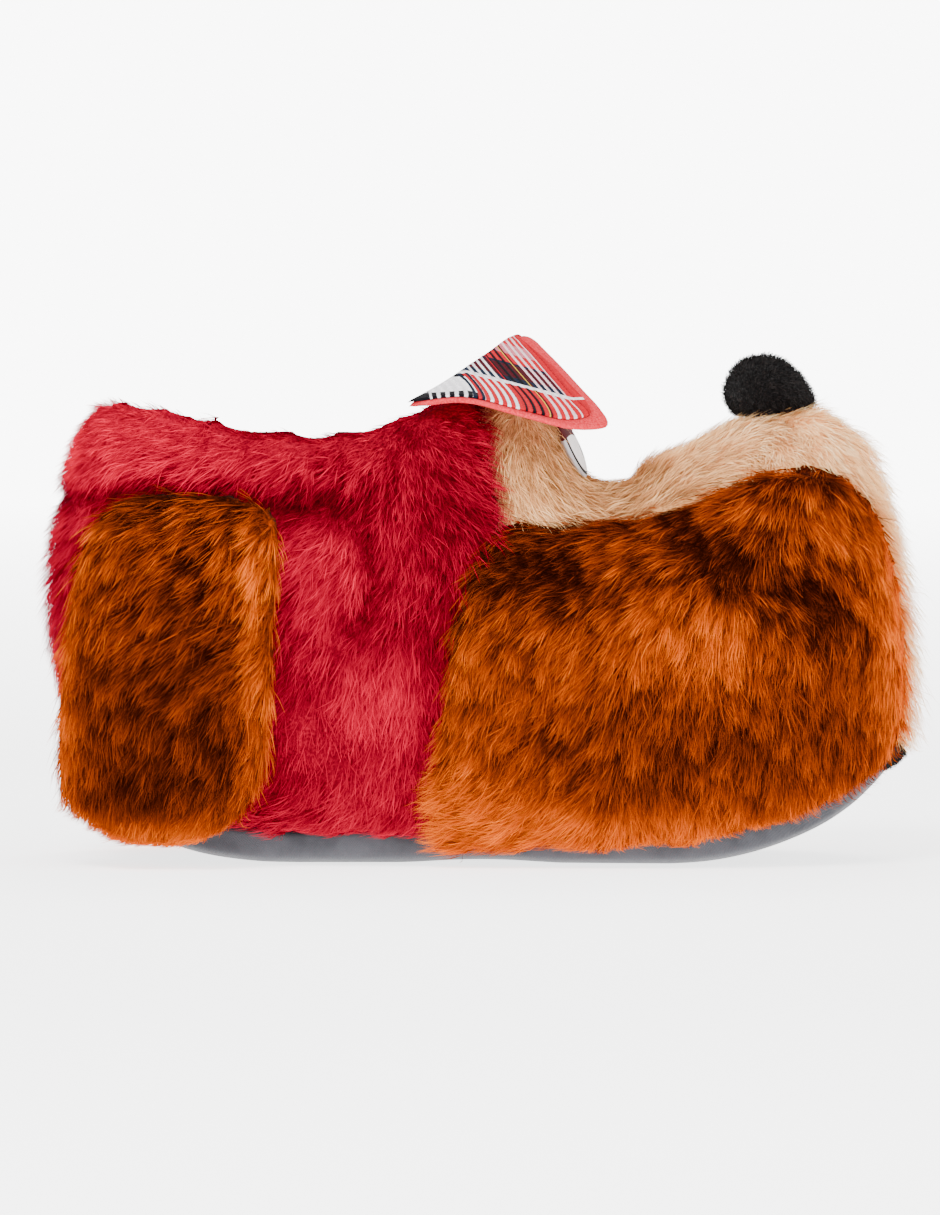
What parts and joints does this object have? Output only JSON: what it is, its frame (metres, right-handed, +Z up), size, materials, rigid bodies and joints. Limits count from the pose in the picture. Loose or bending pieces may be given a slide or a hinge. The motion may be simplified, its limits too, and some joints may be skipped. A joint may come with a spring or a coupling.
{
  "type": "plush dog slipper",
  "caption": "Boot-shaped plush house slipper with a dog's stuffed face at the toe, padded side flaps, a tartan visor and a soft boat-shaped sole.",
  "frame": {"origin": "on the floor, at the middle of the sole's flat heel rest", "axes": "+X towards the toe, +Y to the wearer's left, +Z up out of the collar"},
  "size_m": [0.3065, 0.1454, 0.1864],
  "materials": {
    "sole_cloth": "satin",
    "insole_cloth": "matte",
    "red_plush": "matte",
    "cream_plush": "matte",
    "rust_plush": "matte",
    "black_plush": "matte",
    "eye_white": "satin",
    "visor_felt": "matte",
    "visor_plaid": "matte"
  },
  "bodies": {
    "root": {"outsole": "sole_cloth", "insole": "insole_cloth", "upper": "red_plush", "face": "cream_plush", "cheek_left": "rust_plush", "cheek_right": "rust_plush", "haunch_left": "rust_plush", "haunch_right": "rust_plush", "nose": "black_plush", "lip": "black_plush", "eye_left": "eye_white", "eye_right": "eye_white", "visor_base": "visor_felt", "visor_cover": "visor_plaid"}
  },
  "joints": []
}
